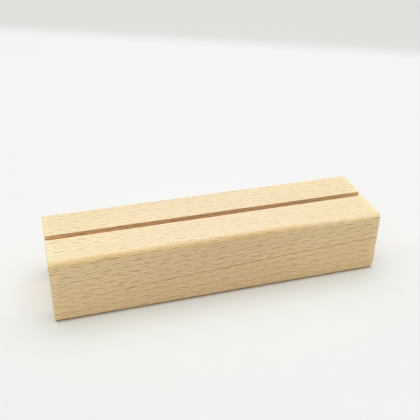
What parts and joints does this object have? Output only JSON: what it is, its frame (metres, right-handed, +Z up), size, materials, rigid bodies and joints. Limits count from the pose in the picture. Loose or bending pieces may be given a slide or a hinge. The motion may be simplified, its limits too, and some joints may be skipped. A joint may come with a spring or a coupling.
{
  "type": "photo block holder",
  "caption": "Solid wooden block with rounded long edges and a full-length saw slot in its top that stands a photo, menu or card upright.",
  "frame": {"origin": "middle of the underside, on the surface the block stands on", "axes": "+X along the block and its slot, +Y to the back, +Z up; the front is at -Y"},
  "size_m": [0.15, 0.04, 0.03],
  "materials": {
    "light_wood": "sanded, unvarnished, fine short flecks along the grain"
  },
  "bodies": {
    "root": {"holder_block": "light_wood"}
  },
  "joints": []
}
